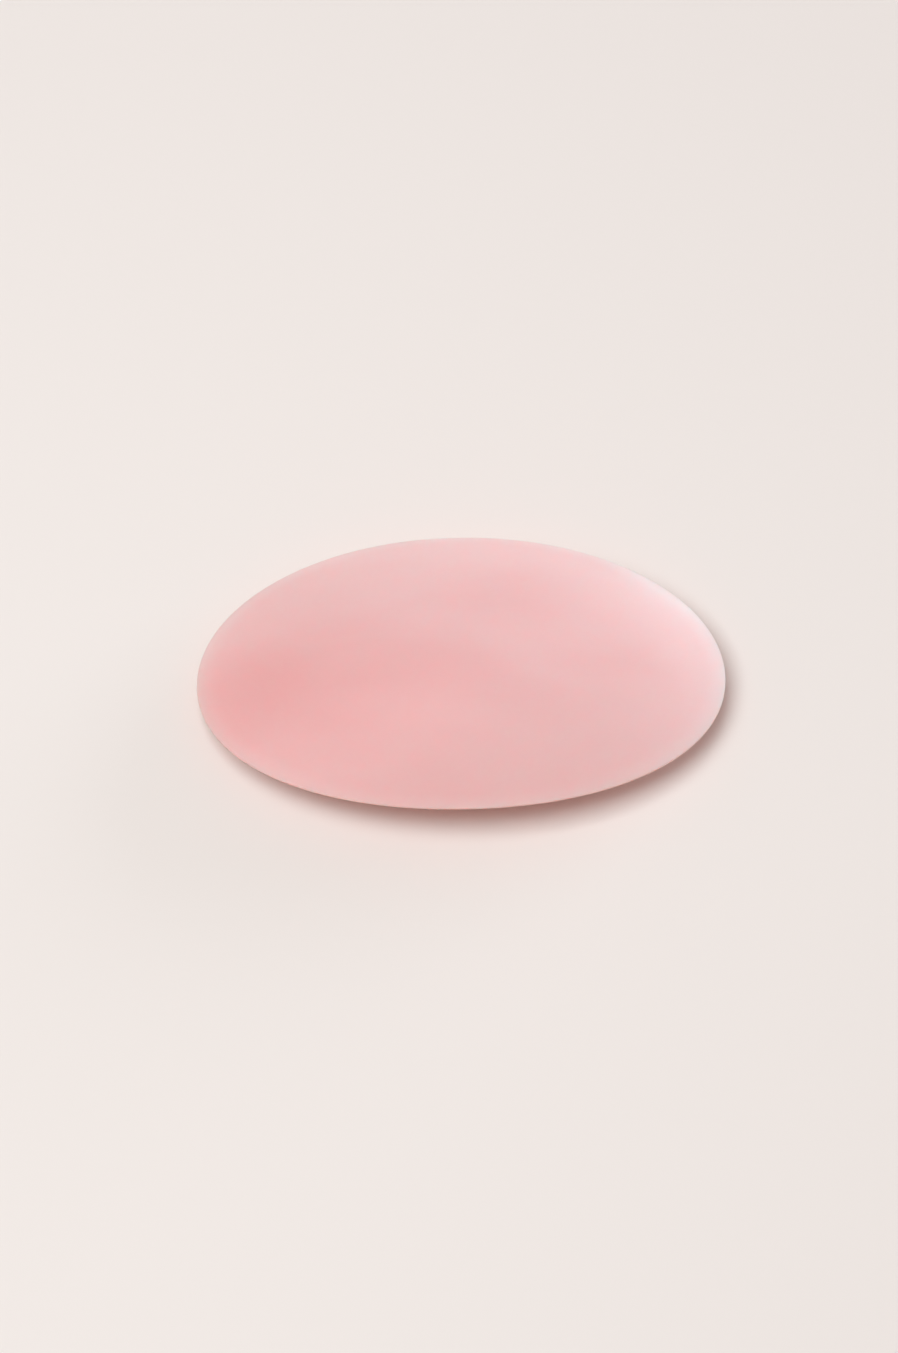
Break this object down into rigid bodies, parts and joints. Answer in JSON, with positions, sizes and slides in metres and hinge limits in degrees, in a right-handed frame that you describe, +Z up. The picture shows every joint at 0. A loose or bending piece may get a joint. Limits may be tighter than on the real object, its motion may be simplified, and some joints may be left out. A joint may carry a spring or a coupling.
{
  "type": "bar of soap",
  "caption": "Slim oval bar of soap: a crowned upper face and a rounded underside meet in a blunt, gently arched edge, with a small flat underneath to rest on.",
  "frame": {"origin": "centre of the resting face, on the surface that the bar lies on", "axes": "+X along the bar's length, +Y across its width, +Z up through the crown"},
  "size_m": [0.106, 0.06, 0.022],
  "materials": {
    "soap": "satin, slightly translucent pink soap"
  },
  "bodies": {
    "root": {"soap_bar": "soap"}
  },
  "joints": []
}
